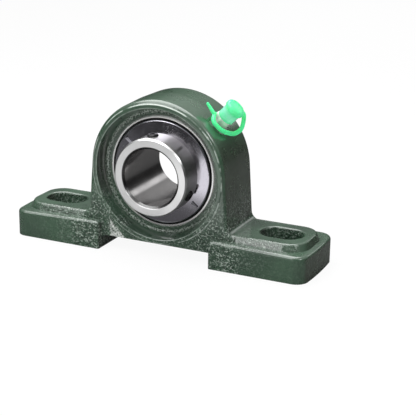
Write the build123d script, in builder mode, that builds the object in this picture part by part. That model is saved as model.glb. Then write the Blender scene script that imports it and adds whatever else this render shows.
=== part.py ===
from build123d import *
import math
import os

os.makedirs("parts", exist_ok=True)

# Driving dimensions in millimetres, for a pillow block on a 25 mm shaft.
# The shaft lies along Y, the base along X, and the wide end of the inner ring faces -Y.

# Housing: base and feet
shaft_height = 36.5
base_length = 140.0
base_width = 36.0
base_end_crown = 1.0
base_corner_radius = 5.5
base_edge_radius = 1.5
base_edge_share = 0.4
foot_gap = 52.6
foot_inner_radius = 1.2
ledge_height = 11.6
ledge_slope = 1.2
boss_rise = 3.2
boss_inset_side = 4.0
boss_inset_end = 2.8
boss_corner_radius = 9.5
boss_draft = 25.0
boss_edge_radius = 1.2
relief_corner_radius = 2.0

# Housing: bolt slots
slot_width = 13.0
slot_length = 19.0
slot_end_wall = 8.0
slot_edge_radius = 0.8

# Housing: arch and barrel
barrel_radius = 30.9
barrel_flat = 0.1
barrel_length = 29.2
barrel_edge_radius = 1.0
arch_thickness = 28.4
arch_crown = 1.1
arch_rise = 0.5
arch_lean = 4.0
arch_edge_radius = 2.0
arch_foot_radius = 3.5
arch_foot_sink = 0.15
web_corner_radius = 2.0
cast_draft = 1.5

# Housing: recesses beside the seat
mouth_radius = 28.6
recess_floor_radius = 27.0
recess_corner_radius = 0.9
mouth_edge_radius = 0.6
seat_half_length = 8.0
loading_clearance = 0.3
grease_groove_width = 6.0
grease_groove_depth = 0.7

# Insert bearing: rings and balls
bore_diameter = 25.0
bearing_diameter = 52.0
seat_clearance = 0.02
outer_ring_width = 17.0
inner_ring_wall = 4.5
inner_ring_front = 19.8
inner_ring_rear = 14.3
race_gap = 5.2
ball_diameter = 7.938
ball_count = 9
ball_clearance = 0.03
groove_ratio = 0.515
ring_edge_chamfer = 0.4
bore_chamfer = 1.0
rim_chamfer = 0.6

# Insert bearing: cage
cage_width = 2.8
cage_thickness = 0.8
pocket_clearance = 0.12
rivet_diameter = 1.3
rivet_head_diameter = 2.1
rivet_head_height = 0.5
rivet_clearance = 0.02

# Insert bearing: seals and flingers
seal_inset = 1.2
seal_thickness = 0.7
seal_lip_height = 1.1
seal_lip_depth = 0.9
seal_fit = 0.05
seal_run_clearance = 0.08
seal_snap_depth = 0.4
ring_mouth_wall = 1.05
flinger_thickness = 0.5
flinger_stand_off = 0.1
flinger_rim_gap = 0.65
flinger_rim_radius = 0.8
flinger_rim_depth = 1.35
flinger_collar_depth = 1.2
flinger_fit = 0.02
crimp_count = 4
crimp_angle = 38.0
crimp_width = 1.8
crimp_depth = 0.7
crimp_length = 3.4
crimp_margin = 1.3

# Insert bearing: set screws
screw_thread_diameter = 5.0
screw_thread_clearance = 0.03
screw_length = 5.0
screw_bore_gap = 0.3
screw_from_face = 5.8
screw_first_angle = -5.5
screw_spread = 120.0
screw_key_width = 2.5
screw_key_depth = 2.4
screw_top_chamfer = 0.5
screw_cup_depth = 0.7
screw_cup_diameter = 3.0
screw_tip_chamfer = 0.8

# Insert bearing: grease holes in the outer ring
ring_groove_start = 2.4
ring_groove_width = 2.6
ring_groove_depth = 0.6
ring_hole_diameter = 1.8
ring_hole_spread = 120.0

# Grease nipple
nipple_angle = 45.0
nipple_thread_diameter = 6.0
nipple_thread_clearance = 0.02
nipple_thread_length = 4.7
spot_face_depth = 0.8
spot_face_diameter = 9.0
hex_width = 7.0
hex_height = 4.0
hex_chamfer = 0.5
neck_diameter = 4.8
neck_height = 1.4
head_diameter = 6.5
head_taper = 1.0
head_height = 1.2
nose_height = 3.0
nose_diameter = 3.0
passage_diameter = 2.3
passage_end_diameter = 1.4
passage_foot = 3.2
passage_top_wall = 1.6
check_ball_diameter = 2.0
check_gap = 0.03
spring_wire_diameter = 0.3
spring_turns = 6
spring_side_gap = 0.1
spring_end_gap = 0.02

# Nipple cap
cap_clearance = 0.08
cap_top_gap = 0.1
cap_wall = 0.7
cap_lift = 0.25
cap_top = 1.5
cap_flange_diameter = 9.0
cap_flange_height = 2.6
cap_edge_radius = 2.3
loop_radius = 7.2
loop_draw_in = 2.6
loop_wire_diameter = 1.9
loop_shift = 1.25
loop_gap = 0.1
loop_high = 10.2
loop_high_angle = 60.0
loop_sharpness = 12
loop_points = 10
tongue_angle = 225.0
tongue_length = 5.3
tongue_rise = 3.0
tongue_root_diameter = 1.7
tongue_tip_diameter = 1.2
tab_width = 2.2
tab_height = 1.4

# Sizes that follow from the driving dimensions
boss_height = ledge_height + boss_rise
bolt_spacing = base_length - slot_length - 2 * slot_end_wall
half_barrel = barrel_length / 2
relief_height = shaft_height - barrel_radius + barrel_flat
crown_radius = barrel_radius + arch_crown
shaft_bore_radius = bore_diameter / 2
inner_ring_radius = shaft_bore_radius + inner_ring_wall
outer_ring_radius = bearing_diameter / 2
outer_shoulder_radius = inner_ring_radius + race_gap
pitch_radius = inner_ring_radius + race_gap / 2
ball_radius = ball_diameter / 2
groove_radius = groove_ratio * ball_diameter
outer_groove_centre = pitch_radius + ball_radius + ball_clearance - groove_radius
inner_groove_centre = pitch_radius - ball_radius - ball_clearance + groove_radius
half_outer_ring = outer_ring_width / 2
seat_radius = outer_ring_radius + seat_clearance

# Planes and axes that the sub-parts share
shaft_centre = Vector(0, 0, shaft_height)
shaft_plane = Plane.XY.offset(shaft_height)
shaft_axis = Axis(shaft_centre, (0, 1, 0))


def radial(angle):
    # Unit vector at an angle from straight up, turning towards +X
    turn = math.radians(angle)
    return Vector(math.sin(turn), 0, math.cos(turn))


def radial_plane(angle, radius, along_shaft=0):
    # Plane across a radial line, its normal pointing outwards
    line = radial(angle)
    centre = shaft_centre + line * radius + Vector(0, along_shaft, 0)
    return Plane(origin=centre, x_dir=(0, 1, 0), z_dir=line)


def ring_section(inner, outer, low, high, mode=Mode.ADD):
    # One rectangle of a turned profile: radii inner to outer, low to high along the shaft
    with Locations(((inner + outer) / 2, (low + high) / 2)):
        Rectangle(outer - inner, high - low, mode=mode)


def circles(part, radius):
    # Round edges of the part that have this radius
    return part.edges().filter_by(GeomType.CIRCLE).filter_by(lambda edge: abs(edge.radius - radius) < 0.01)


# Housing: both feet, with a raised boss round each bolt slot
foot_inner_x = foot_gap / 2
foot_root_x = foot_inner_x - 2 * web_corner_radius
foot_shoulder = (base_width - arch_thickness) / 2
foot_corner_x = base_length / 2 - base_end_crown
boss_outer_x = base_length / 2 - boss_inset_end
ledge_turn = math.radians(ledge_slope)
ledge_plane = Plane(
    origin=(base_length / 2, 0, ledge_height), z_dir=(math.sin(ledge_turn), 0, math.cos(ledge_turn))
)
with BuildPart() as feet:
    with BuildSketch() as foot_plan:
        with BuildLine():
            Polyline(
                (foot_corner_x, base_width / 2),
                (foot_inner_x, base_width / 2),
                (foot_inner_x, arch_thickness / 2),
                (foot_root_x, arch_thickness / 2),
                (foot_root_x, -arch_thickness / 2),
                (foot_inner_x, -arch_thickness / 2),
                (foot_inner_x, -base_width / 2),
                (foot_corner_x, -base_width / 2),
            )
            ThreePointArc(
                (foot_corner_x, -base_width / 2), (base_length / 2, 0), (foot_corner_x, base_width / 2)
            )
        make_face()
        fillet(foot_plan.vertices().group_by(Axis.X)[-1], base_corner_radius)
        rows = foot_plan.vertices().group_by(Axis.X)[1].group_by(Axis.Y)
        fillet(rows[0] + rows[-1], min(foot_inner_radius, foot_shoulder / 4))
        rows = foot_plan.vertices().group_by(Axis.X)[1].group_by(Axis.Y)
        fillet(rows[1] + rows[-2], min(web_corner_radius, foot_shoulder / 2))
    extrude(amount=boss_height)
    split(bisect_by=ledge_plane, keep=Keep.BOTTOM)
    fillet(
        feet.faces().sort_by(Axis.Z)[-1].edges(),
        min(base_edge_radius, foot_shoulder * base_edge_share),
    )
    with BuildSketch(Plane.XY.offset(ledge_height)) as boss_plan:
        with Locations(((foot_inner_x + boss_outer_x) / 2, 0)):
            Rectangle(boss_outer_x - foot_inner_x, base_width - 2 * boss_inset_side)
        fillet(boss_plan.vertices().group_by(Axis.X)[-1], boss_corner_radius)
    extrude(amount=boss_rise, taper=boss_draft)
    fillet(feet.faces().sort_by(Axis.Z)[-1].edges(), boss_edge_radius)
    with BuildSketch():
        with Locations((bolt_spacing / 2, 0)):
            SlotOverall(slot_length, slot_width)
    extrude(amount=boss_height, mode=Mode.SUBTRACT)
    fillet(feet.faces().sort_by(Axis.Z)[-1].inner_wires()[0].edges(), slot_edge_radius)
    mirror(about=Plane.YZ)

# Housing: the arch, drafted both ways from its middle plane and flared into the feet
lean = math.radians(arch_lean)
lean_normal = Vector(math.cos(lean), math.sin(lean))
arch_centre = Vector(0, shaft_height + arch_rise)
flare_height = boss_height - arch_foot_sink
flare_centre_z = flare_height + arch_foot_radius
flare_centre_x = (
    crown_radius + arch_foot_radius - (flare_centre_z - arch_centre.Y) * math.sin(lean)
) / math.cos(lean)
flare_centre = Vector(flare_centre_x, flare_centre_z)
wall_top = arch_centre + lean_normal * crown_radius
wall_foot = flare_centre - lean_normal * arch_foot_radius
flare_middle = flare_centre - (lean_normal + Vector(0, 1)).normalized() * arch_foot_radius
flare_end = Vector(flare_centre_x, flare_height)
arch_bottom = relief_height / 2
with BuildPart() as arch:
    with BuildSketch(Plane.XZ):
        with BuildLine():
            ThreePointArc(
                (0, arch_centre.Y + crown_radius),
                arch_centre + (lean_normal + Vector(0, 1)).normalized() * crown_radius,
                wall_top,
            )
            Line(wall_top, wall_foot)
            ThreePointArc(wall_foot, flare_middle, flare_end)
            Polyline(flare_end, (flare_centre_x, arch_bottom), (0, arch_bottom))
            mirror(about=Plane.YZ)
        make_face()
    extrude(amount=arch_thickness / 2, both=True, taper=cast_draft)
    above_feet = lambda edge: edge.center().Z > flare_height
    fillet(arch.faces().filter_by(Axis.Y).edges().filter_by(above_feet), arch_edge_radius)

# Housing: barrel, seat, recesses and holes
seat_edge_radius = math.sqrt(seat_radius**2 - seat_half_length**2)
nipple_line = radial(nipple_angle)
spot_face_radius = crown_radius + arch_rise * math.cos(math.radians(nipple_angle)) - spot_face_depth
nipple_hole_radius = nipple_thread_diameter / 2 + nipple_thread_clearance
with BuildPart() as housing:
    add(feet.part)
    add(arch.part)
    with BuildSketch():
        with Locations((bolt_spacing / 2, 0), (-bolt_spacing / 2, 0)):
            SlotOverall(slot_length, slot_width)
    extrude(amount=boss_height, mode=Mode.SUBTRACT)
    with BuildSketch(shaft_plane) as barrel_section:
        ring_section(0, barrel_radius, -half_barrel, half_barrel)
        fillet(barrel_section.vertices().group_by(Axis.X)[-1], barrel_edge_radius)
    revolve(axis=shaft_axis)
    with BuildSketch(Plane.XZ) as relief:
        Rectangle(foot_gap, relief_height, align=(Align.CENTER, Align.MIN))
        fillet(relief.vertices().group_by(Axis.Y)[-1], min(relief_corner_radius, relief_height / 2))
    extrude(amount=base_width, both=True, mode=Mode.SUBTRACT)
    with BuildSketch(shaft_plane) as opening:
        with BuildLine():
            Polyline(
                (0, -half_barrel),
                (mouth_radius, -half_barrel),
                (recess_floor_radius, -seat_half_length),
                (seat_edge_radius, -seat_half_length),
            )
            ThreePointArc(
                (seat_edge_radius, -seat_half_length), (seat_radius, 0), (seat_edge_radius, seat_half_length)
            )
            Polyline(
                (seat_edge_radius, seat_half_length),
                (recess_floor_radius, seat_half_length),
                (mouth_radius, half_barrel),
                (0, half_barrel),
                (0, -half_barrel),
            )
        make_face()
        on_floor = lambda corner: abs(corner.X - recess_floor_radius) < 0.01
        fillet(opening.vertices().filter_by(on_floor), recess_corner_radius)
    revolve(axis=shaft_axis, mode=Mode.SUBTRACT)
    fillet(circles(housing, mouth_radius), mouth_edge_radius)
    with BuildSketch(Plane.XZ.offset(-half_barrel)):
        with Locations((0, shaft_height)):
            Circle(seat_radius)
            Rectangle(2 * seat_radius, outer_ring_width + 2 * loading_clearance, mode=Mode.INTERSECT)
    extrude(amount=half_barrel, mode=Mode.SUBTRACT)
    with BuildSketch(shaft_plane):
        ring_section(
            seat_edge_radius,
            seat_radius + grease_groove_depth,
            -grease_groove_width / 2,
            grease_groove_width / 2,
        )
    revolve(axis=shaft_axis, mode=Mode.SUBTRACT)
    with BuildSketch(radial_plane(nipple_angle, spot_face_radius)):
        Circle(spot_face_diameter / 2)
    extrude(amount=2 * spot_face_depth, mode=Mode.SUBTRACT)
    with BuildSketch(radial_plane(nipple_angle, seat_radius)):
        Circle(nipple_hole_radius)
    extrude(amount=spot_face_radius - seat_radius, mode=Mode.SUBTRACT)
housing.part.label = "housing"
export_step(housing.part, "parts/housing.step")


# Outer ring: spherical outside, one deep groove inside, a snap groove for each seal
ring_mouth_radius = math.sqrt(outer_ring_radius**2 - half_outer_ring**2) - ring_mouth_wall
snap_radius = ring_mouth_radius + seal_snap_depth
seal_face = half_outer_ring - seal_inset
seal_back = seal_face - seal_thickness
ring_groove_middle = ring_groove_start + ring_groove_width / 2
with BuildPart() as outer_ring:
    with BuildSketch(shaft_plane) as outer_section:
        Circle(outer_ring_radius)
        with Locations((outer_shoulder_radius, 0)):
            Rectangle(
                outer_ring_radius, outer_ring_width, align=(Align.MIN, Align.CENTER), mode=Mode.INTERSECT
            )
        chamfer(outer_section.vertices().group_by(Axis.X)[1], ring_edge_chamfer)
        with Locations((outer_groove_centre, 0)):
            Circle(groove_radius, mode=Mode.SUBTRACT)
        for side in (-1, 1):
            low, high = sorted((side * (seal_back - seal_fit), side * half_outer_ring))
            ring_section(outer_shoulder_radius, ring_mouth_radius, low, high, Mode.SUBTRACT)
            low, high = sorted((side * (seal_back - seal_fit), side * (seal_face + seal_fit)))
            ring_section(outer_shoulder_radius, snap_radius, low, high, Mode.SUBTRACT)
        ring_section(
            outer_ring_radius - ring_groove_depth,
            seat_radius,
            ring_groove_start,
            ring_groove_start + ring_groove_width,
            Mode.SUBTRACT,
        )
    revolve(axis=shaft_axis)
    for turn in (-ring_hole_spread / 2, ring_hole_spread / 2):
        with BuildSketch(radial_plane(nipple_angle + turn, pitch_radius, ring_groove_middle)):
            Circle(ring_hole_diameter / 2)
        extrude(amount=outer_ring_radius - pitch_radius, mode=Mode.SUBTRACT)
outer_ring.part.label = "outer_ring"
export_step(outer_ring.part, "parts/outer_ring.step")

# Inner ring: shaft bore, raceway, and two tapped holes in its wide end
screw_place = -inner_ring_front + screw_from_face
screw_angles = (screw_first_angle, screw_first_angle + screw_spread)
screw_thread_radius = screw_thread_diameter / 2
with BuildPart() as inner_ring:
    with BuildSketch(shaft_plane) as inner_section:
        ring_section(shaft_bore_radius, inner_ring_radius, -inner_ring_front, inner_ring_rear)
        chamfer(inner_section.vertices().group_by(Axis.X)[0], bore_chamfer)
        chamfer(inner_section.vertices().group_by(Axis.X)[-1], rim_chamfer)
        with Locations((inner_groove_centre, 0)):
            Circle(groove_radius, mode=Mode.SUBTRACT)
    revolve(axis=shaft_axis)
    for angle in screw_angles:
        with BuildSketch(radial_plane(angle, 0, screw_place)):
            Circle(screw_thread_radius)
        extrude(amount=inner_ring_radius, mode=Mode.SUBTRACT)
inner_ring.part.label = "inner_ring"
export_step(inner_ring.part, "parts/inner_ring.step")

# Balls: evenly spaced on the pitch circle
ball_step = 360 / ball_count
for index in range(ball_count):
    with BuildPart(radial_plane(index * ball_step, pitch_radius)) as ball:
        Sphere(ball_radius)
    ball.part.label = f"ball_{index + 1}"
    export_step(ball.part, f"parts/ball_{index + 1}.step")

# Cage: two pressed halves, flat between the balls and cupped round them
pocket_radius = ball_radius + pocket_clearance
cup_radius = pocket_radius + cage_thickness
cage_inner = pitch_radius - cage_width / 2
cage_outer = pitch_radius + cage_width / 2
rivet_hole_radius = rivet_diameter / 2 + rivet_clearance
for side, name in ((-1, "cage_front"), (1, "cage_rear")):
    with BuildPart() as cage:
        with BuildSketch(shaft_plane):
            low, high = sorted((0, side * cage_thickness))
            ring_section(cage_inner, cage_outer, low, high)
        revolve(axis=shaft_axis)
        for index in range(ball_count):
            with Locations(radial_plane(index * ball_step, pitch_radius)):
                Sphere(cup_radius)
        with BuildSketch(shaft_plane):
            low, high = sorted((0, side * cup_radius))
            ring_section(cage_inner, cage_outer, low, high)
        revolve(axis=shaft_axis, mode=Mode.INTERSECT)
        for index in range(ball_count):
            with Locations(radial_plane(index * ball_step, pitch_radius)):
                Sphere(pocket_radius, mode=Mode.SUBTRACT)
        with BuildSketch(Plane.XZ):
            with Locations((0, shaft_height)):
                with PolarLocations(pitch_radius, ball_count, start_angle=90 + ball_step / 2):
                    Circle(rivet_hole_radius)
        extrude(amount=cage_thickness, both=True, mode=Mode.SUBTRACT)
    cage.part.label = name
    export_step(cage.part, f"parts/{name}.step")

# Cage rivets: a shank through both halves and a flat head on each side
with BuildPart() as cage_rivets:
    for side in (-1, 1):
        with BuildSketch(Plane.XZ):
            with Locations((0, shaft_height)):
                with PolarLocations(pitch_radius, ball_count, start_angle=90 + ball_step / 2):
                    Circle(rivet_diameter / 2)
        extrude(amount=side * cage_thickness)
        with BuildSketch(Plane.XZ.offset(side * cage_thickness)):
            with Locations((0, shaft_height)):
                with PolarLocations(pitch_radius, ball_count, start_angle=90 + ball_step / 2):
                    Circle(rivet_head_diameter / 2)
        extrude(amount=side * rivet_head_height)
cage_rivets.part.label = "cage_rivets"
export_step(cage_rivets.part, "parts/cage_rivets.step")

# Seals: a washer snapped into the outer ring, with a lip that runs on the inner ring
lip_radius = inner_ring_radius + seal_run_clearance
for side, name in ((-1, "seal_front"), (1, "seal_rear")):
    with BuildPart() as seal:
        with BuildSketch(shaft_plane):
            with BuildLine():
                Polyline(
                    (snap_radius - seal_fit, side * seal_back),
                    (snap_radius - seal_fit, side * seal_face),
                    (lip_radius + seal_lip_height, side * seal_face),
                    (lip_radius, side * (seal_face + seal_fit)),
                    (lip_radius, side * (seal_back + seal_fit)),
                    (lip_radius + seal_lip_height / 2, side * (seal_face - seal_lip_depth)),
                    (lip_radius + seal_lip_height, side * seal_back),
                    close=True,
                )
            make_face()
        revolve(axis=shaft_axis)
    seal.part.label = name
    export_step(seal.part, f"parts/{name}.step")

# Flingers: pressed discs carried by the inner ring just outside the seals
flinger_inner = inner_ring_radius + flinger_fit
flinger_outer = ring_mouth_radius - flinger_rim_gap
flinger_back = half_outer_ring + flinger_stand_off
flinger_face = flinger_back + flinger_thickness
crimp_radius = flinger_inner + crimp_margin
for side, name in ((-1, "flinger_front"), (1, "flinger_rear")):
    with BuildPart() as flinger:
        with BuildSketch(shaft_plane) as flinger_section:
            low, high = sorted((side * flinger_back, side * flinger_face))
            ring_section(flinger_inner, flinger_outer, low, high)
            low, high = sorted((side * (flinger_face - flinger_rim_depth), side * flinger_face))
            ring_section(flinger_outer - flinger_thickness, flinger_outer, low, high)
            low, high = sorted((side * (flinger_face - flinger_collar_depth), side * flinger_face))
            ring_section(flinger_inner, flinger_inner + flinger_thickness, low, high)
            outer_corners = flinger_section.vertices().group_by(Axis.X)[-1]
            fillet(outer_corners.sort_by(lambda corner: abs(corner.Y))[-1], flinger_rim_radius)
        revolve(axis=shaft_axis)
        for index in range(crimp_count):
            line = radial(crimp_angle + index * 360 / crimp_count)
            across = line.cross(Vector(0, 1, 0))
            start = shaft_centre + line * crimp_radius + Vector(0, side * flinger_face, 0)
            crimp_plane = Plane(origin=start, x_dir=across, z_dir=line)
            with BuildSketch(crimp_plane.offset(-flinger_thickness)):
                with BuildLine():
                    Polyline(
                        (-crimp_width / 2 - flinger_thickness / 2, side * flinger_thickness),
                        (crimp_width / 2 + flinger_thickness / 2, side * flinger_thickness),
                        (0, side * (crimp_depth + flinger_thickness)),
                        close=True,
                    )
                make_face()
            extrude(amount=crimp_length + 2 * flinger_thickness)
            with BuildSketch(crimp_plane):
                with BuildLine():
                    Polyline(
                        (-crimp_width / 2, 0), (crimp_width / 2, 0), (0, side * crimp_depth), close=True
                    )
                make_face()
            extrude(amount=crimp_length, mode=Mode.SUBTRACT)
    flinger.part.label = name
    export_step(flinger.part, f"parts/{name}.step")


# Set screws: socket heads outwards, cup points just outside the shaft bore
screw_radius = screw_thread_radius - screw_thread_clearance
screw_tip = shaft_bore_radius + screw_bore_gap
for index, angle in enumerate(screw_angles):
    screw_plane = radial_plane(angle, screw_tip, screw_place)
    with BuildPart() as set_screw:
        with BuildSketch(screw_plane):
            Circle(screw_radius)
        extrude(amount=screw_length)
        screw_axis = Axis(screw_plane.origin, screw_plane.z_dir)
        screw_ends = set_screw.edges().filter_by(GeomType.CIRCLE).sort_by(screw_axis)
        chamfer(screw_ends[-1], screw_top_chamfer)
        chamfer(screw_ends[0], screw_tip_chamfer)
        with BuildSketch(screw_plane.offset(screw_length)):
            RegularPolygon(screw_key_width / 2, 6, major_radius=False)
        extrude(amount=-screw_key_depth, mode=Mode.SUBTRACT)
        with Locations(screw_plane):
            Cone(
                screw_cup_diameter / 2,
                0,
                screw_cup_depth,
                align=(Align.CENTER, Align.CENTER, Align.MIN),
                mode=Mode.SUBTRACT,
            )
    set_screw.part.label = f"set_screw_{index + 1}"
    export_step(set_screw.part, f"parts/set_screw_{index + 1}.step")

# Grease nipple: heights are radii from the shaft's centre, along the nipple's own line
nipple_side = Vector(0, 1, 0)
nipple_section = Plane(origin=shaft_centre, x_dir=nipple_side, z_dir=nipple_side.cross(nipple_line))
nipple_axis = Axis(shaft_centre, nipple_line)
thread_end = spot_face_radius - nipple_thread_length
hex_top = spot_face_radius + hex_height
neck_top = hex_top + neck_height
taper_top = neck_top + head_taper
head_top = taper_top + head_height
nose_top = head_top + nose_height
passage_low = thread_end + passage_foot
check_seat = nose_top - passage_top_wall
with BuildPart() as hexagon:
    with BuildSketch(radial_plane(nipple_angle, spot_face_radius)):
        RegularPolygon(hex_width / 2, 6, major_radius=False)
    extrude(amount=hex_height)
    with BuildSketch(nipple_section):
        with BuildLine():
            Polyline(
                (0, spot_face_radius),
                (hex_width / 2, spot_face_radius),
                (hex_width / 2 + 2 * hex_chamfer, spot_face_radius + hex_chamfer),
                (hex_width / 2 + 2 * hex_chamfer, hex_top - hex_chamfer),
                (hex_width / 2, hex_top),
                (0, hex_top),
                close=True,
            )
        make_face()
    revolve(axis=nipple_axis, mode=Mode.INTERSECT)
with BuildPart() as grease_nipple:
    with BuildSketch(nipple_section):
        with BuildLine():
            Polyline(
                (0, thread_end),
                (nipple_thread_diameter / 2, thread_end),
                (nipple_thread_diameter / 2, spot_face_radius),
                (neck_diameter / 2, spot_face_radius),
                (neck_diameter / 2, neck_top),
                (head_diameter / 2, taper_top),
                (head_diameter / 2, head_top),
                (nose_diameter / 2, nose_top),
                (0, nose_top),
                close=True,
            )
        make_face()
    revolve(axis=nipple_axis)
    add(hexagon.part)
    with BuildSketch(nipple_section):
        with BuildLine():
            Polyline(
                (0, thread_end),
                (passage_end_diameter / 2, thread_end),
                (passage_end_diameter / 2, passage_low),
                (passage_diameter / 2, passage_low),
                (passage_diameter / 2, check_seat),
                (passage_end_diameter / 2, check_seat),
                (passage_end_diameter / 2, nose_top),
                (0, nose_top),
                close=True,
            )
        make_face()
    revolve(axis=nipple_axis, mode=Mode.SUBTRACT)
grease_nipple.part.label = "grease_nipple"
export_step(grease_nipple.part, "parts/grease_nipple.step")

# Check ball: rests just under the edge of the nipple's mouth
check_radius = check_ball_diameter / 2
check_place = check_seat - check_gap - math.sqrt(check_radius**2 - (passage_end_diameter / 2) ** 2)
with BuildPart(radial_plane(nipple_angle, check_place)) as nipple_ball:
    Sphere(check_radius)
nipple_ball.part.label = "nipple_ball"
export_step(nipple_ball.part, "parts/nipple_ball.step")

# Check spring: a helix from the passage's shoulder up to the ball
wire_radius = spring_wire_diameter / 2
coil_radius = passage_diameter / 2 - wire_radius - spring_side_gap
coil_low = passage_low + wire_radius + spring_end_gap
coil_high = check_place - math.sqrt((check_radius + wire_radius + spring_end_gap) ** 2 - coil_radius**2)
with BuildPart() as nipple_spring:
    with BuildLine() as coil:
        Helix(
            (coil_high - coil_low) / spring_turns,
            coil_high - coil_low,
            coil_radius,
            center=shaft_centre + nipple_line * coil_low,
            direction=nipple_line,
        )
    with BuildSketch(Plane(origin=coil.line @ 0, z_dir=coil.line % 0)):
        Circle(wire_radius)
    sweep(is_frenet=True)
nipple_spring.part.label = "nipple_spring"
export_step(nipple_spring.part, "parts/nipple_spring.step")

# Nipple cap: a cup over the head, a loop that dips round the hexagon, and a tongue, all one moulding
cap_inner = head_diameter / 2 + cap_clearance
cap_outer = cap_inner + cap_wall
cap_foot = hex_top + cap_lift
cap_roof = nose_top + cap_top_gap
cap_crown = cap_roof + cap_top
loop_low = spot_face_depth + loop_gap + loop_wire_diameter / 2
loop_down = radial(nipple_angle + 90)


def loop_point(angle):
    # Point of the loop's centre line: a circle round the nipple that climbs to the cap on one side
    turn = math.radians(angle)
    climb = math.cos((turn - math.radians(loop_high_angle)) / 2) ** loop_sharpness
    height = spot_face_radius + loop_low + (loop_high - loop_low) * climb
    reach = loop_radius - loop_draw_in * climb
    along = loop_shift + reach * math.cos(turn)
    across = reach * math.sin(turn)
    return shaft_centre + nipple_line * height + loop_down * along + nipple_side * across


def loop_tangent(angle):
    # Direction of the loop's centre line, from two points one degree apart
    return (loop_point(angle + 0.5) - loop_point(angle - 0.5)).normalized()


with BuildPart() as nipple_cap:
    with BuildSketch(nipple_section) as cap_section:
        with BuildLine():
            Polyline(
                (0, cap_roof),
                (cap_inner, cap_roof),
                (cap_inner, cap_foot),
                (cap_outer, cap_foot),
                (cap_outer, cap_crown - cap_flange_height),
                (cap_flange_diameter / 2, cap_crown - cap_flange_height),
                (cap_flange_diameter / 2, cap_crown),
                (0, cap_crown),
                close=True,
            )
        make_face()
        fillet(cap_section.vertices().group_by(Axis.X)[-1].sort_by(Axis.Y)[-1], cap_edge_radius)
    revolve(axis=nipple_axis)
    for start in (0, 180):
        with BuildLine() as half_loop:
            Spline(
                [loop_point(start + index * 180 / loop_points) for index in range(loop_points + 1)],
                tangents=(loop_tangent(start), loop_tangent(start + 180)),
            )
        with BuildSketch(Plane(origin=half_loop.line @ 0, z_dir=half_loop.line % 0)):
            Circle(loop_wire_diameter / 2)
        sweep()
    tab_end = loop_point(loop_high_angle)
    tab_base = shaft_centre + nipple_line * (tab_end - shaft_centre).dot(nipple_line)
    tab_line = (tab_end - tab_base).normalized()
    tab_start = cap_inner + cap_wall / 2
    with BuildSketch(Plane(origin=tab_base + tab_line * tab_start, x_dir=nipple_line, z_dir=tab_line)):
        RectangleRounded(tab_height, tab_width, tab_height / 3)
    extrude(amount=(tab_end - tab_base).length - tab_start)
    tongue_root = loop_point(tongue_angle)
    tongue_line = (nipple_line * tongue_rise - loop_down * tongue_length).normalized()
    with BuildSketch(Plane(origin=tongue_root, z_dir=tongue_line)):
        Circle(tongue_root_diameter / 2)
    with BuildSketch(Plane(origin=tongue_root + tongue_line * tongue_length, z_dir=tongue_line)):
        Circle(tongue_tip_diameter / 2)
    loft()
    with Locations(tongue_root + tongue_line * tongue_length):
        Sphere(tongue_tip_diameter / 2)
nipple_cap.part.label = "nipple_cap"
export_step(nipple_cap.part, "parts/nipple_cap.step")
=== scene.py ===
import math

import bpy
import numpy as np
from mathutils import Matrix, Vector


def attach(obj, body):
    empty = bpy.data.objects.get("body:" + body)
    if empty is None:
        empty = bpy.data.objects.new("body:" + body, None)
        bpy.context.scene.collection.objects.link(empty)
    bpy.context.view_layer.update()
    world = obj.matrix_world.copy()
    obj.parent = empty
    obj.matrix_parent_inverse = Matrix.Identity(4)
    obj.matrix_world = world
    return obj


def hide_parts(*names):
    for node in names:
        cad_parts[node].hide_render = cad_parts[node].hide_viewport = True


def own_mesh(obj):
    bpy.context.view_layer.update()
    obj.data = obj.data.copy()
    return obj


# Frame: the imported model, in metres, base plane at z 0, shaft along Y, wide end of the inner ring towards -Y
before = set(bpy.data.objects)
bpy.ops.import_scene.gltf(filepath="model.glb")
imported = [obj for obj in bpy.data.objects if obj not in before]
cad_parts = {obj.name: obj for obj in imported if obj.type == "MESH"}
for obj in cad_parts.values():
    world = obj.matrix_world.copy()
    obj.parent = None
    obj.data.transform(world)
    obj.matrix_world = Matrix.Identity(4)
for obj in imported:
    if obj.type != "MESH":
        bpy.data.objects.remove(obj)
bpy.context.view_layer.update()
print("frame loaded,", len(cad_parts), "nodes")

shaft = {
    "height": 0.0365,
    "boreRadius": 0.0125,
}

# Grease nipple: its own line, and the downhill direction across it
nippleLine = Vector((math.sqrt(0.5), 0.0, math.sqrt(0.5)))
nippleDown = Vector((math.sqrt(0.5), 0.0, -math.sqrt(0.5)))

millimetre = 0.001
noiseSpan = (0.3, 0.7)  # most of a noise's values lie between these


# Small helpers that build shader graphs
def startMaterial(name):
    material = bpy.data.materials.new(name)
    material.use_nodes = True
    material.node_tree.nodes.clear()
    return material, material.node_tree


def put(tree, kind, inputs=None, **settings):
    made = tree.nodes.new(kind)
    for key, value in settings.items():
        setattr(made, key, value)
    for key, value in (inputs or {}).items():
        if isinstance(value, bpy.types.NodeSocket):
            tree.links.new(value, made.inputs[key])
        else:
            made.inputs[key].default_value = value
    return made


def calc(tree, operation, *values):
    return put(tree, "ShaderNodeMath", dict(enumerate(values)), operation=operation).outputs[0]


def product(tree, first, *others):
    for other in others:
        first = calc(tree, "MULTIPLY", first, other)
    return first


def size(tree, value):
    return calc(tree, "ABSOLUTE", value)


def vectorCalc(tree, operation, *values, output="Vector"):
    made = put(tree, "ShaderNodeVectorMath", dict(enumerate(values)), operation=operation)
    return made.outputs[output]


def smooth(tree, value, low, high, start=0.0, end=1.0):
    # Soft ramp from start to end while the value goes from low to high, and level beyond them
    step = put(tree, "ShaderNodeMapRange", {0: value, 1: low, 2: high, 3: start, 4: end})
    step.interpolation_type = "SMOOTHSTEP"
    step.clamp = True
    return step.outputs[0]


def between(tree, value, low, high, soft):
    # One inside the band from low to high, zero outside, with soft ends
    return product(
        tree, smooth(tree, value, low - soft, low + soft), smooth(tree, value, high + soft, high - soft)
    )


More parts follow.
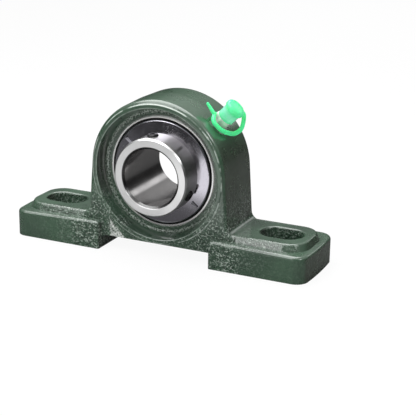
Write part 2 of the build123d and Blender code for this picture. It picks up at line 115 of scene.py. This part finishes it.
def noise(tree, place, scale, detail=2.0, rough=0.5):
    inputs = {"Vector": place, "Scale": scale, "Detail": detail, "Roughness": rough, "Distortion": 0.0}
    return put(tree, "ShaderNodeTexNoise", inputs).outputs["Fac"]


def blendColour(tree, factor, first, second):
    return put(tree, "ShaderNodeMix", {0: factor, 6: first, 7: second}, data_type="RGBA").outputs[2]


def blendValue(tree, factor, first, second):
    return put(tree, "ShaderNodeMix", {0: factor, 2: first, 3: second}, data_type="FLOAT").outputs[0]


def rise(tree, height, depth, normal=None):
    inputs = {"Height": height, "Distance": depth, "Strength": 1.0}
    if normal is not None:
        inputs["Normal"] = normal
    return put(tree, "ShaderNodeBump", inputs).outputs["Normal"]


def objectPlace(tree):
    place = put(tree, "ShaderNodeTexCoord").outputs["Object"]
    parts = put(tree, "ShaderNodeSeparateXYZ", {0: place})
    return place, parts.outputs["X"], parts.outputs["Y"], parts.outputs["Z"]


def shaftPlace(tree):
    # Radius from the shaft's centre line, place along it, and the direction round it
    place, x, y, z = objectPlace(tree)
    up = calc(tree, "SUBTRACT", z, shaft["height"])
    radius = calc(tree, "SQRT", calc(tree, "ADD", product(tree, x, x), product(tree, up, up)))
    around = put(tree, "ShaderNodeCombineXYZ", {0: up, 1: 0.0, 2: product(tree, x, -1.0)}).outputs[0]
    return place, radius, y, around


def facing(tree, axis):
    # How squarely the surface faces along an axis, either way
    normal = put(tree, "ShaderNodeNewGeometry").outputs["Normal"]
    return size(tree, put(tree, "ShaderNodeSeparateXYZ", {0: normal}).outputs[axis])


def turnedTangent(tree, around):
    # Highlights stretch across the turning marks: along the shaft on round faces, along the radius on flat ones
    normal = put(tree, "ShaderNodeNewGeometry").outputs["Normal"]
    return vectorCalc(tree, "NORMALIZE", vectorCalc(tree, "CROSS_PRODUCT", around, normal))


def finishMaterial(tree, inputs):
    shader = put(tree, "ShaderNodeBsdfPrincipled", inputs)
    put(tree, "ShaderNodeOutputMaterial", {"Surface": shader.outputs[0]})


# Housing: thick green enamel over a sand casting, with bare iron where it is machined.
# A ramp is the noise or normal at its low and high ends, with the values there where they aren't 0 and 1.
paint = {
    "colour": (0.048, 0.098, 0.059, 1.0),
    "darkColour": (0.036, 0.071, 0.045, 1.0),
    "darkScale": 60.0,
    "darkRamp": (0.35, 0.7),
    "shadedSideColour": (0.040, 0.045, 0.034, 1.0),
    "shadedSideRamp": (0.80, 0.97),
    "shadedSideShare": 0.7,
    "glintColour": (0.42, 0.50, 0.43, 1.0),
    "glintScale": 1350.0,
    "glintRamp": (0.55, 0.62),
    "edgeGlintRamp": (0.42, 0.52),
    "glintShare": 0.75,
    "cornerReflectionColour": (0.78, 0.80, 0.77, 1.0),
    "cornerReflectionScale": 1300.0,
    "cornerReflectionRamp": (0.40, 0.56, 0.05, 0.85),
    "edgeHighlightColour": (0.52, 0.60, 0.54, 1.0),
    "edgeHighlightScale": 170.0,
    "edgeHighlightRamp": (0.36, 0.52),
    "edgeHighlightShare": 0.85,
    "iron": (0.30, 0.29, 0.28, 1.0),
    "roughness": 0.30,
    "roughnessSpread": (-0.06, 0.08),
    "patchScale": 140.0,
    "patchRamp": (0.30, 0.55, 0.35, 1.0),
    "grainDepth": 0.0010,
    "grainScale": 620.0,
    "grainRamp": (0.38, 0.66),
    "peelDepth": 0.00005,
    "peelScale": 240.0,
    "uprightRamp": (0.75, 0.35),
    "coatWeight": 0.8,
    "coatIor": 1.75,
    "coatRoughness": 0.09,
}

# Places on the casting, in metres: a band is its low end, high end and softness, the others are ramps.
# Side is the distance from the middle along the base, front the distance from the middle along the shaft.
casting = {
    "webSideBand": (0.0185, 0.0400, 0.003),
    "webHeight": (0.034, 0.016),
    "slotSideBand": (0.0418, 0.0650, 0.0006),
    "slotFront": (0.0070, 0.0067),
    "slotShare": 0.6,
    "recessBand": (0.0255, 0.0273, 0.0003),
    "recessFront": (0.0096, 0.0086),
    "floorEdgeBand": (0.0262, 0.0272, 0.0003),
    "stepHeightBand": (0.0118, 0.0152, 0.0006),
    "stepFront": (0.0105, 0.0125),
    "stepSide": (0.064, 0.050, 0.25, 0.9),
    "footSide": (0.060, 0.030, 0.06, 0.45),
    "footHeight": (0.013, 0.010),
    "cornerReflectionBand": (-0.0225, -0.0145, 0.0005),
    "cornerReflectionSlant": (-0.0085, -0.0097),
    "cornerReflectionFront": (-0.0125, -0.0138),
    "mouthBand": (0.0287, 0.0290, 0.00015),
    "mouthHighlightShare": 0.4,
    "rimBand": (0.0303, 0.0307, 0.00015),
    "rimFront": (0.0138, 0.0143),
    "seatRadius": (0.0263, 0.0261),
    "seatFront": (0.0079, 0.0078),
}


def roughPlaces(tree, radius, side, front, z, upright):
    # Where the sand casting shows through: webs, slots, recess floor, boss slopes and the feet's inner ends
    web = product(
        tree, between(tree, side, *casting["webSideBand"]), smooth(tree, z, *casting["webHeight"]), upright
    )
    slot = product(
        tree,
        between(tree, side, *casting["slotSideBand"]),
        upright,
        smooth(tree, front, *casting["slotFront"]),
        casting["slotShare"],
    )
    recess = product(
        tree, between(tree, radius, *casting["recessBand"]), smooth(tree, front, *casting["recessFront"])
    )
    step = product(
        tree,
        between(tree, z, *casting["stepHeightBand"]),
        smooth(tree, front, *casting["stepFront"]),
        smooth(tree, side, *casting["stepSide"]),
    )
    foot = product(
        tree, smooth(tree, side, *casting["footSide"]), upright, smooth(tree, z, *casting["footHeight"])
    )
    most = slot
    for part in (web, recess, step, foot):
        most = calc(tree, "MAXIMUM", most, part)
    return most


def makePaint():
    material, tree = startMaterial("greenEnamel")
    place, radius, y, _ = shaftPlace(tree)
    _, x, _, z = objectPlace(tree)
    side, front = size(tree, x), size(tree, y)
    upright = smooth(tree, facing(tree, "Z"), *paint["uprightRamp"])
    patches = noise(tree, place, paint["patchScale"], detail=3.0, rough=0.6)
    rough = roughPlaces(tree, radius, side, front, z, upright)
    rough = product(tree, rough, smooth(tree, patches, *paint["patchRamp"]))
    # Bumps: orange peel everywhere, and lumps of sand where the casting is rough
    lumps = smooth(tree, noise(tree, place, paint["grainScale"], rough=0.55), *paint["grainRamp"])
    bumped = rise(tree, noise(tree, place, paint["peelScale"]), paint["peelDepth"])
    bumped = rise(tree, product(tree, lumps, rough), paint["grainDepth"], bumped)
    dark = smooth(tree, noise(tree, place, paint["darkScale"]), *paint["darkRamp"])
    colour = blendColour(tree, dark, paint["colour"], paint["darkColour"])
    # Painted shade: the two leaning sides, facing along the base, are darker and brown
    shadedSides = product(tree, smooth(tree, facing(tree, "X"), *paint["shadedSideRamp"]), paint["shadedSideShare"])
    colour = blendColour(tree, shadedSides, colour, paint["shadedSideColour"])
    # Painted glints: pale specks on the rough places, closest together at the edge of the recess floor
    sparkle = noise(tree, place, paint["glintScale"], detail=1.0)
    glint = product(tree, smooth(tree, sparkle, *paint["glintRamp"]), rough)
    edgeGlint = product(
        tree,
        between(tree, radius, *casting["floorEdgeBand"]),
        smooth(tree, front, *casting["recessFront"]),
        smooth(tree, sparkle, *paint["edgeGlintRamp"]),
    )
    glint = product(tree, calc(tree, "MAXIMUM", glint, edgeGlint), paint["glintShare"])
    colour = blendColour(tree, glint, colour, paint["glintColour"])
    # Painted reflection: a pale rough patch on the left foot's inner front corner
    cornerReflection = product(
        tree,
        between(tree, x, *casting["cornerReflectionBand"]),
        smooth(tree, calc(tree, "ADD", x, z), *casting["cornerReflectionSlant"]),
        smooth(tree, y, *casting["cornerReflectionFront"]),
        upright,
        smooth(tree, noise(tree, place, paint["cornerReflectionScale"], rough=0.6), *paint["cornerReflectionRamp"]),
    )
    colour = blendColour(tree, cornerReflection, colour, paint["cornerReflectionColour"])
    # Painted highlights: pale thin lines on the front and rear edges of the barrel, at the mouth and the rim
    mouthHighlight = product(tree, between(tree, radius, *casting["mouthBand"]), casting["mouthHighlightShare"])
    edgeHighlight = product(
        tree,
        calc(tree, "MAXIMUM", mouthHighlight, between(tree, radius, *casting["rimBand"])),
        smooth(tree, front, *casting["rimFront"]),
        smooth(tree, noise(tree, place, paint["edgeHighlightScale"], detail=3.0, rough=0.6), *paint["edgeHighlightRamp"]),
        paint["edgeHighlightShare"],
    )
    colour = blendColour(tree, edgeHighlight, colour, paint["edgeHighlightColour"])
    # Machined seat: radius under the seat's sphere, between the recess floors
    seat = product(
        tree, smooth(tree, radius, *casting["seatRadius"]), smooth(tree, front, *casting["seatFront"])
    )
    less, more = (paint["roughness"] + spread for spread in paint["roughnessSpread"])
    finishMaterial(tree, {
        "Base Color": blendColour(tree, seat, colour, paint["iron"]),
        "Metallic": seat,
        "Roughness": smooth(tree, patches, *noiseSpan, less, more),
        "Normal": bumped,
        "Coat Weight": paint["coatWeight"],
        "Coat IOR": paint["coatIor"],
        "Coat Roughness": paint["coatRoughness"],
    })
    return material


# Bearing steel: ground and turned faces with marks that run round the shaft
steel = {
    "colour": (0.62, 0.61, 0.60, 1.0),
    "boreColour": (0.45, 0.44, 0.44, 1.0),
    "faceColour": (0.94, 0.94, 0.94, 1.0),
    "chamferShadeColour": (0.16, 0.16, 0.16, 1.0),
    "slopeShadeColour": (0.10, 0.10, 0.11, 1.0),
    "faceRoughness": 0.31,
    "boreRoughness": 0.20,
    "outsideRoughness": 0.30,
    "slopeRoughness": 0.20,
    "roughnessSpread": (-0.04, 0.05),
    "ringSpread": (-0.03, 0.04),
    "stretch": 0.6,
    "markDepth": 0.000004,
    "markScale": 6000.0,
    "cloudScale": 90.0,
    "dotScale": 1500.0,
    "dotRamp": (0.56, 0.66),
    "slopeRamp": (0.96, 0.85),
    "slopeShadeShare": 0.7,
    "faceRamp": (0.3, 0.6),
    "boreDepth": (0.0009, 0.0002),
    "chamferDepth": (0.0010, 0.0008),
    "chamferRamp": (0.15, 0.30),
}


def turnedMarks(tree, radius, along):
    # Fine noise that changes with the radius and the place along the shaft, and never round it
    rings = put(tree, "ShaderNodeCombineXYZ", {0: radius, 1: along, 2: 0.0}).outputs[0]
    return noise(tree, rings, steel["markScale"], detail=3.0, rough=0.7)


def steelInputs(tree, around, colour, roughness, stretch, bumped):
    return {
        "Base Color": colour,
        "Metallic": 1.0,
        "Roughness": roughness,
        "Anisotropic": stretch,
        "Tangent": turnedTangent(tree, around),
        "Normal": bumped,
    }


def makeSteel(name, colour, roughness, stretch=steel["stretch"], marks=1.0, dish=0.0, speckle=0.0):
    material, tree = startMaterial(name)
    place, radius, along, around = shaftPlace(tree)
    bumped = rise(tree, turnedMarks(tree, radius, along), steel["markDepth"] * marks)
    if dish:
        # The disc leans back like a shallow cone: its height falls with the radius
        bumped = rise(tree, product(tree, radius, -dish), 1.0, bumped)
    cloud = noise(tree, place, steel["cloudScale"])
    less, more = (roughness + spread for spread in steel["roughnessSpread"])
    level = smooth(tree, cloud, *noiseSpan, less, more)
    if speckle:
        # Small dull spots, and duller metal with painted shade on the slopes of the crimps and of the rim
        dots = smooth(tree, noise(tree, place, steel["dotScale"], detail=1.0), *steel["dotRamp"])
        slope = smooth(tree, facing(tree, "Y"), *steel["slopeRamp"])
        colour = blendColour(tree, product(tree, slope, steel["slopeShadeShare"]), colour, steel["slopeShadeColour"])
        level = calc(tree, "ADD", level, product(tree, dots, speckle))
        level = calc(tree, "ADD", level, product(tree, slope, steel["slopeRoughness"]))
    finishMaterial(tree, steelInputs(tree, around, colour, level, stretch, bumped))
    return material


def makeInnerRingSteel():
    material, tree = startMaterial("innerRingSteel")
    place, radius, along, around = shaftPlace(tree)
    square = facing(tree, "Y")
    endFace = smooth(tree, square, *steel["faceRamp"])
    bore, chamfer = (
        smooth(tree, radius, *(shaft["boreRadius"] + depth for depth in steel[key]))
        for key in ("boreDepth", "chamferDepth")
    )
    roughness = smooth(tree, bore, 0.0, 1.0, steel["outsideRoughness"], steel["boreRoughness"])
    faceStep = product(tree, endFace, steel["faceRoughness"] - steel["outsideRoughness"])
    roughness = calc(tree, "ADD", roughness, faceStep)
    cloud = smooth(tree, noise(tree, place, steel["cloudScale"]), *noiseSpan, *steel["ringSpread"])
    roughness = calc(tree, "ADD", roughness, cloud)
    colour = blendColour(tree, bore, steel["colour"], steel["boreColour"])
    colour = blendColour(tree, endFace, colour, steel["faceColour"])
    # Painted shade: the bore's chamfer is darker than the face
    chamfer = product(tree, chamfer, smooth(tree, square, *steel["chamferRamp"]))
    colour = blendColour(tree, chamfer, colour, steel["chamferShadeColour"])
    bumped = rise(tree, turnedMarks(tree, radius, along), steel["markDepth"])
    finishMaterial(tree, steelInputs(tree, around, colour, roughness, steel["stretch"], bumped))
    return material


# Plain finishes for the smaller pieces
plain = {
    "cloudScale": 200.0,
    "cloudRamp": (0.35, 0.75),
    "darker": 0.72,
    "roughnessSpread": (-0.05, 0.06),
}


def makePlain(name, colour, roughness, metallic=0.0, grainScale=1500.0, grainDepth=0.00001):
    material, tree = startMaterial(name)
    place = objectPlace(tree)[0]
    grain = noise(tree, place, grainScale, detail=3.0, rough=0.6)
    cloud = smooth(tree, noise(tree, place, plain["cloudScale"]), *plain["cloudRamp"])
    dark = tuple(plain["darker"] * part for part in colour[:3]) + (1.0,)
    less, more = (roughness + spread for spread in plain["roughnessSpread"])
    finishMaterial(tree, {
        "Base Color": blendColour(tree, cloud, colour, dark),
        "Metallic": metallic,
        "Roughness": smooth(tree, grain, *noiseSpan, less, more),
        "Normal": rise(tree, grain, grainDepth),
    })
    return material


# Cap plastic: head heights are from the shaft's centre along the nipple's line, in metres
plastic = {
    "colour": (0.050, 0.86, 0.31, 1.0),
    "throughLightColour": (0.26, 1.0, 0.56, 1.0),
    "deepColour": (0.020, 0.72, 0.20, 1.0),
    "glow": (0.30, 1.0, 0.52, 1.0),
    "glowStrength": 0.14,
    "headBand": (0.0362, 0.0402, 0.0010),
    "headRamp": (0.25, 0.55, 0.45, 1.0),
    "deepRamp": (0.42, 0.62),
    "deepShare": 0.6,
    "cupRadius": 0.0046,
    "cupSoft": 0.0002,
    "cupThroughLight": 0.20,
    "cloudScale": 420.0,
    "roughnessEnds": (0.18, 0.30),
    "grainScale": 700.0,
    "grainDepth": 0.00002,
    "scatter": 0.5,
    "scatterRadius": (0.3, 1.0, 0.6),
    "scatterScale": 0.0025,
}


def makeCapPlastic():
    # Clear green plastic: painted see-through light, paler where the nipple's head shows through the cup,
    # deeper in soft clouds
    material, tree = startMaterial("greenPlastic")
    place = objectPlace(tree)[0]
    fromShaft = vectorCalc(tree, "SUBTRACT", place, (0.0, 0.0, shaft["height"]))
    height = vectorCalc(tree, "DOT_PRODUCT", fromShaft, tuple(nippleLine), output="Value")
    aside = vectorCalc(tree, "CROSS_PRODUCT", fromShaft, tuple(nippleLine))
    radius = vectorCalc(tree, "LENGTH", aside, output="Value")
    cupEdge, soft = plastic["cupRadius"], plastic["cupSoft"]
    cup = smooth(tree, radius, cupEdge + soft, cupEdge - soft)
    cloud = noise(tree, place, plastic["cloudScale"])
    grain = noise(tree, place, plastic["grainScale"], detail=3.0, rough=0.6)
    headThroughLight = product(
        tree, between(tree, height, *plastic["headBand"]), cup, smooth(tree, cloud, *plastic["headRamp"])
    )
    throughLight = calc(tree, "MAXIMUM", headThroughLight, product(tree, cup, plastic["cupThroughLight"]))
    deep = product(tree, smooth(tree, cloud, *plastic["deepRamp"]), plastic["deepShare"])
    colour = blendColour(tree, deep, plastic["colour"], plastic["deepColour"])
    finishMaterial(tree, {
        "Base Color": blendColour(tree, throughLight, colour, plastic["throughLightColour"]),
        "Roughness": smooth(tree, cloud, *noiseSpan, *plastic["roughnessEnds"]),
        "Normal": rise(tree, grain, plastic["grainDepth"]),
        "Subsurface Weight": plastic["scatter"],
        "Subsurface Radius": plastic["scatterRadius"],
        "Subsurface Scale": plastic["scatterScale"],
        # Painted glow: the plastic gives off a faint green light of its own
        "Emission Color": plastic["glow"],
        "Emission Strength": plastic["glowStrength"],
    })
    return material


materials = {
    "paint": makePaint(),
    "innerRing": makeInnerRingSteel(),
    "outerRing": makeSteel("outerRingSteel", (0.86, 0.86, 0.85, 1.0), 0.26),
    "flinger": makeSteel(
        "flingerSteel", (0.66, 0.64, 0.71, 1.0), 0.14, stretch=0.0, marks=2.0, dish=0.15, speckle=0.09
    ),
    "seal": makePlain("sealRubber", (0.012, 0.012, 0.012, 1.0), 0.55),
    "cage": makePlain("cageSteel", (0.45, 0.44, 0.42, 1.0), 0.32, metallic=1.0),
    "ball": makePlain(
        "ballSteel", (0.68, 0.68, 0.68, 1.0), 0.09, metallic=1.0, grainScale=900.0, grainDepth=0.0000005
    ),
    "blackOxide": makePlain("blackOxide", (0.025, 0.024, 0.026, 1.0), 0.38, metallic=0.6),
    "zinc": makePlain(
        "zincPlate", (0.97, 0.96, 0.95, 1.0), 0.34, metallic=0.15, grainScale=1200.0, grainDepth=0.000004
    ),
    "spring": makePlain("springWire", (0.5, 0.5, 0.5, 1.0), 0.25, metallic=1.0),
    "cap": makeCapPlastic(),
}
# The bearing's nine balls and the nipple's check ball aren't listed: they are ball steel
finishes = {
    "housing": "paint",
    "inner_ring": "innerRing",
    "outer_ring": "outerRing",
    "flinger_front": "flinger",
    "flinger_rear": "flinger",
    "seal_front": "seal",
    "seal_rear": "seal",
    "cage_front": "cage",
    "cage_rear": "cage",
    "cage_rivets": "cage",
    "set_screw_1": "blackOxide",
    "set_screw_2": "blackOxide",
    "grease_nipple": "zinc",
    "nipple_spring": "spring",
    "nipple_cap": "cap",
}
for name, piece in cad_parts.items():
    finish = finishes.get(name, "ball")
    if not piece.data.materials:
        piece.data.materials.append(None)
    for index in range(len(piece.data.materials)):
        piece.data.materials[index] = materials[finish]
print("materials assigned")


# Nipple cap: one soft moulding, with a cup over the head, a strap looped round the hexagon and a pull tab.
# The cup's profile holds radius and height, the strap's path and the tab's start hold angle, radius and height.
cap = {
    "foot": 0.03155,
    "cupShift": 0.0003,
    "cupProfile": (
        (0.00358, 0.01070), (0.00358, 0.00420), (0.00364, 0.00408), (0.00372, 0.00408), (0.00378, 0.00420),
        (0.00380, 0.00870), (0.00388, 0.00892), (0.00415, 0.00905), (0.00436, 0.00930), (0.00443, 0.00985),
        (0.00440, 0.01045), (0.00422, 0.01095), (0.00385, 0.01128), (0.00310, 0.01150), (0.00150, 0.01160),
    ),
    "cupRoof": 0.01074,
    "cupCrown": 0.01162,
    "cupSides": 96,
    "strapPath": (
        (34, 0.0047, 0.0102), (28, 0.0068, 0.0080), (18, 0.0084, 0.0048), (2, 0.0078, 0.0024),
        (-28, 0.0068, 0.0019), (-60, 0.0072, 0.0019), (-90, 0.0071, 0.0020), (-108, 0.0064, 0.0024),
        (-127, 0.0053, 0.0029), (-155, 0.0046, 0.0024), (-180, 0.0044, 0.0014), (-215, 0.0044, 0.0013),
        (-250, 0.0050, 0.0030), (-280, 0.0052, 0.0056), (-304, 0.0050, 0.0086),
    ),
    "strapRadiiMm": (0.96, 0.92, 0.94, 0.98, 1.0, 0.98, 0.96, 0.94, 0.85, 0.55, 0.36, 0.36, 0.50, 0.6, 0.8),
    "strapSteps": 12,
    "strapSides": 24,
    "tabFrom": (-127, 0.0052, 0.0030),
    "tabReach": 0.0054,
    "tabLift": 0.0008,
    "tabRadii": (0.00090, 0.00062),
    "tabSteps": 12,
    "tipTurns": (0.1, 1.4, 6),
    "tabSides": 24,
}


def capPoints(polar):
    # Angle from the downhill side towards +Y, radius from the nipple's line and height over its seat, as points
    turn, radius, height = np.asarray(polar, float).T
    turn = np.radians(turn)
    base = np.array((0.0, 0.0, shaft["height"])) + np.outer(cap["foot"] + height, nippleLine)
    base += np.outer(radius * np.cos(turn), nippleDown)
    return base + np.outer(radius * np.sin(turn), (0.0, 1.0, 0.0))


def closedCurve(points, steps):
    # Closed curve through the points: a cubic from each to the next, sloped as the line between neighbours
    before, after, later = (np.roll(points, shift, axis=0) for shift in (1, -1, -2))
    t = np.linspace(0, 1, steps, endpoint=False)[None, :, None]
    start, middle = points[:, None], after[:, None]
    first, last = (after - before)[:, None] / 2, (later - points)[:, None] / 2
    curve = (2 * t**3 - 3 * t**2 + 1) * start + (t**3 - 2 * t**2 + t) * first
    curve += (3 * t**2 - 2 * t**3) * middle + (t**3 - t**2) * last
    return curve.reshape(-1, points.shape[1])


def unit(rows):
    # Each row over its own length
    return rows / np.linalg.norm(rows, axis=-1, keepdims=True)


def gridFaces(rows, columns, wrapRows):
    # Quads of a grid whose columns wrap round, and whose rows may
    lastRow = rows if wrapRows else rows - 1
    row, column = np.meshgrid(np.arange(lastRow), np.arange(columns), indexing="ij")
    nextRow, nextColumn = (row + 1) % rows, (column + 1) % columns
    corners = ((row, column), (row, nextColumn), (nextRow, nextColumn), (nextRow, column))
    return np.stack([(down * columns + along).ravel() for down, along in corners], axis=1)


def tube(path, radius, sides):
    # Closed tube: a circle of the given radius round each point of the path, square to the path there
    forward = unit(np.roll(path, -1, axis=0) - np.roll(path, 1, axis=0))
    across = unit(np.cross(forward, np.array(nippleLine)))
    over = np.cross(across, forward)
    turn = np.linspace(0, 2 * np.pi, sides, endpoint=False)[None, :, None]
    ring = np.cos(turn) * across[:, None] + np.sin(turn) * over[:, None]
    points = (path[:, None] + radius[:, None] * ring).reshape(-1, 3)
    return points, gridFaces(len(path), sides, True).tolist()


def turnedShell(origin, axis, profile, lowPole, highPole, sides):
    # Closed shell turned about an axis: the profile holds radius and height, the poles are heights on the axis
    axis = unit(np.asarray(axis, float))
    across = unit(np.cross(axis, (0.0, 1.0, 0.0)))
    over = np.cross(axis, across)
    radius, height = np.asarray(profile, float).T
    turn = np.linspace(0, 2 * np.pi, sides, endpoint=False)
    ring = np.outer(np.cos(turn), across) + np.outer(np.sin(turn), over)
    points = (origin + height[:, None, None] * axis + radius[:, None, None] * ring[None]).reshape(-1, 3)
    poles = origin + np.outer((lowPole, highPole), axis)
    here, beyond = np.arange(sides), (np.arange(sides) + 1) % sides
    last = (len(radius) - 1) * sides
    low = np.stack((beyond, here, np.full(sides, len(points))), axis=1)
    high = np.stack((last + here, last + beyond, np.full(sides, len(points) + 1)), axis=1)
    faces = gridFaces(len(radius), sides, False).tolist() + low.tolist() + high.tolist()
    return np.vstack((points, poles)), faces


def outwardFaces(points, faces):
    # Turn the faces round where the shell's volume, summed over its triangles, comes out negative
    triangles = [face[:3] for face in faces]
    triangles += [(face[0], face[2], face[3]) for face in faces if len(face) == 4]
    first, second, third = points[np.array(triangles)].transpose(1, 0, 2)
    volume = np.einsum("ij,ij->", first, np.cross(second, third))
    return faces if volume > 0 else [face[::-1] for face in faces]


def makeCup():
    # The cup's wall and domed flange, turned about a line just downhill of the nipple's own
    origin = np.array((0.0, 0.0, shaft["height"])) + cap["foot"] * np.array(nippleLine)
    origin = origin + cap["cupShift"] * np.array(nippleDown)
    return turnedShell(
        origin, nippleLine, cap["cupProfile"], cap["cupRoof"], cap["cupCrown"], cap["cupSides"]
    )


def makeStrap():
    # The tube's radius varies along the strap as smoothly as its path does
    radii = closedCurve(np.array(cap["strapRadiiMm"])[:, None] * millimetre, cap["strapSteps"])
    return tube(closedCurve(capPoints(cap["strapPath"]), cap["strapSteps"]), radii, cap["strapSides"])


def makeTab():
    # A tapering rod with a round tip, from the strap up the arch
    start = capPoints([cap["tabFrom"]])[0]
    line = unit(cap["tabLift"] * np.array(nippleLine) - cap["tabReach"] * np.array(nippleDown))
    length = math.hypot(cap["tabReach"], cap["tabLift"])
    wide, slim = cap["tabRadii"]
    share = np.linspace(0, 1, cap["tabSteps"])
    turn = np.linspace(*cap["tipTurns"])
    straight = np.stack((wide + (slim - wide) * share, length * share), axis=1)
    tip = np.stack((slim * np.cos(turn), length + slim * np.sin(turn)), axis=1)
    return turnedShell(start, line, np.vstack((straight, tip)), 0.0, length + slim, cap["tabSides"])


def makeCap():
    points, faces, count = [], [], 0
    for shellPoints, shellFaces in (makeCup(), makeStrap(), makeTab()):
        faces += [[index + count for index in face] for face in outwardFaces(shellPoints, shellFaces)]
        points.append(shellPoints)
        count += len(shellPoints)
    mesh = bpy.data.meshes.new("nippleCapSkin")
    mesh.from_pydata(np.vstack(points).tolist(), [], faces)
    mesh.polygons.foreach_set("use_smooth", np.ones(len(faces), bool))
    mesh.materials.append(materials["cap"])
    piece = bpy.data.objects.new("nippleCapSkin", mesh)
    bpy.context.scene.collection.objects.link(piece)
    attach(piece, "nipple_cap")
    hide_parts("nipple_cap")


makeCap()
print("cap made")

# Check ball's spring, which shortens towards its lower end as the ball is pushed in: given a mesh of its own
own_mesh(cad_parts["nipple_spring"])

# Stage: a pale floor, a white surround and soft lamps. Windows are bright spots seen in gloss, in degrees.
stage = {
    "floorHalf": 0.9,
    "floorColour": (0.80, 0.80, 0.80, 1.0),
    "whiteShare": 0.93,
    "white": (1.0, 1.0, 1.0, 1.0),
    "mirrorPlace": (0.0, -0.175, 0.0),
    "mirrorRamp": (0.085, 0.135, 1.0, 0.04),
    "ambient": 0.45,
    "skyRamp": (0.16, 0.75, 0.03, 0.66),
    "windows": (
        {"toward": (0.70, -0.35, 0.62), "inner": 4.0, "outer": 10.0, "strength": 9.0},
        {"toward": (0.31, 0.86, 0.40), "inner": 3.0, "outer": 9.0, "strength": 1.3},
    ),
}


def makeFloor():
    material, tree = startMaterial("floorWhite")
    path = put(tree, "ShaderNodeLightPath")
    glossy = path.outputs["Is Glossy Ray"]
    seen = calc(tree, "MAXIMUM", path.outputs["Is Camera Ray"], glossy)
    seen = calc(tree, "MAXIMUM", seen, path.outputs["Is Transmission Ray"])
    # In gloss only the floor in front of the bearing is white, and the rest of it is dark
    away = vectorCalc(tree, "DISTANCE", objectPlace(tree)[0], stage["mirrorPlace"], output="Value")
    strength = blendValue(tree, glossy, 1.0, smooth(tree, away, *stage["mirrorRamp"]))
    cloth = put(tree, "ShaderNodeBsdfDiffuse", {"Color": stage["floorColour"]})
    glow = put(tree, "ShaderNodeEmission", {"Color": stage["white"], "Strength": strength})
    share = product(tree, seen, stage["whiteShare"])
    mixed = put(tree, "ShaderNodeMixShader", {0: share, 1: cloth.outputs[0], 2: glow.outputs[0]})
    put(tree, "ShaderNodeOutputMaterial", {"Surface": mixed.outputs[0]})
    half = stage["floorHalf"]
    corners = [(-half, -half, 0), (half, -half, 0), (half, half, 0), (-half, half, 0)]
    mesh = bpy.data.meshes.new("floor")
    mesh.from_pydata(corners, [], [(0, 1, 2, 3)])
    mesh.materials.append(material)
    floor = bpy.data.objects.new("floor", mesh)
    bpy.context.scene.collection.objects.link(floor)


def makeWorld():
    world = bpy.data.worlds.new("studio")
    bpy.context.scene.world = world
    world.use_nodes = True
    tree = world.node_tree
    tree.nodes.clear()
    path = put(tree, "ShaderNodeLightPath")
    seen = calc(tree, "MAXIMUM", path.outputs["Is Camera Ray"], path.outputs["Is Transmission Ray"])
    toward = put(tree, "ShaderNodeTexCoord").outputs["Generated"]
    direction = put(tree, "ShaderNodeSeparateXYZ", {0: toward})
    # Seen in gloss, the surround is dark at the horizon and pale higher up, with soft bright windows
    gloss = smooth(tree, direction.outputs["Z"], *stage["skyRamp"])
    for window in stage["windows"]:
        aim = tuple(Vector(window["toward"]).normalized())
        close = vectorCalc(tree, "DOT_PRODUCT", toward, aim, output="Value")
        outer, inner = (math.cos(math.radians(window[key])) for key in ("outer", "inner"))
        gloss = calc(tree, "ADD", gloss, smooth(tree, close, outer, inner, 0.0, window["strength"]))
    level = blendValue(tree, path.outputs["Is Glossy Ray"], stage["ambient"], gloss)
    level = blendValue(tree, seen, level, 1.0)
    sky = put(tree, "ShaderNodeBackground", {"Color": stage["white"], "Strength": level})
    put(tree, "ShaderNodeOutputWorld", {"Surface": sky.outputs[0]})


# Lamps: places and sizes in metres, power in watts
lampTarget = Vector((0, 0, 0.03))
lamps = {
    "key": {"place": (-0.07, 0.03, 0.38), "size": 0.42, "power": 2.1},
    "front": {"place": (-0.40, -0.64, 0.62), "size": 0.50, "power": 2.5},
    "back": {"place": (-0.10, 0.72, 0.46), "size": 0.40, "power": 1.6, "glossy": False},
}


def makeLamps():
    for name, lamp in lamps.items():
        light = bpy.data.lights.new(name, "AREA")
        light.shape = "SQUARE"
        light.size = lamp["size"]
        light.energy = lamp["power"]
        holder = bpy.data.objects.new(name, light)
        holder.location = lamp["place"]
        holder.visible_glossy = lamp.get("glossy", True)
        holder.rotation_mode = "QUATERNION"
        holder.rotation_quaternion = (lampTarget - Vector(lamp["place"])).to_track_quat("-Z", "Y")
        bpy.context.scene.collection.objects.link(holder)


# Camera: fitted to the photograph. Angles in degrees, lens and sensor in millimetres, the rest in metres.
camera = {
    "azimuth": 24.85,
    "elevation": 18.3,
    "roll": 0.91,
    "distance": 0.5375,
    "lens": 108.03,
    "sensor": 36.0,
    "clip": (0.01, 20.0),
    "target": (0.01792, 0.0, 0.02046),
}


def makeCamera():
    azimuth, elevation, roll = (math.radians(camera[key]) for key in ("azimuth", "elevation", "roll"))
    level = math.cos(elevation)
    back = Vector((math.sin(azimuth) * level, -math.cos(azimuth) * level, math.sin(elevation)))
    right = Vector((math.cos(azimuth), math.sin(azimuth), 0))
    up = back.cross(right)
    rolledRight = right * math.cos(roll) + up * math.sin(roll)
    rolledUp = -right * math.sin(roll) + up * math.cos(roll)
    data = bpy.data.cameras.new("camera")
    data.lens = camera["lens"]
    data.sensor_width = camera["sensor"]
    data.clip_start, data.clip_end = camera["clip"]
    holder = bpy.data.objects.new("camera", data)
    turn = Matrix((rolledRight, rolledUp, back)).transposed()
    holder.rotation_mode = "QUATERNION"
    holder.rotation_quaternion = turn.to_quaternion()
    holder.location = Vector(camera["target"]) + back * camera["distance"]
    bpy.context.scene.collection.objects.link(holder)
    bpy.context.scene.camera = holder


makeFloor()
makeWorld()
makeLamps()
makeCamera()
bpy.context.scene.view_settings.view_transform = "Standard"
print("stage, lamps and camera made")
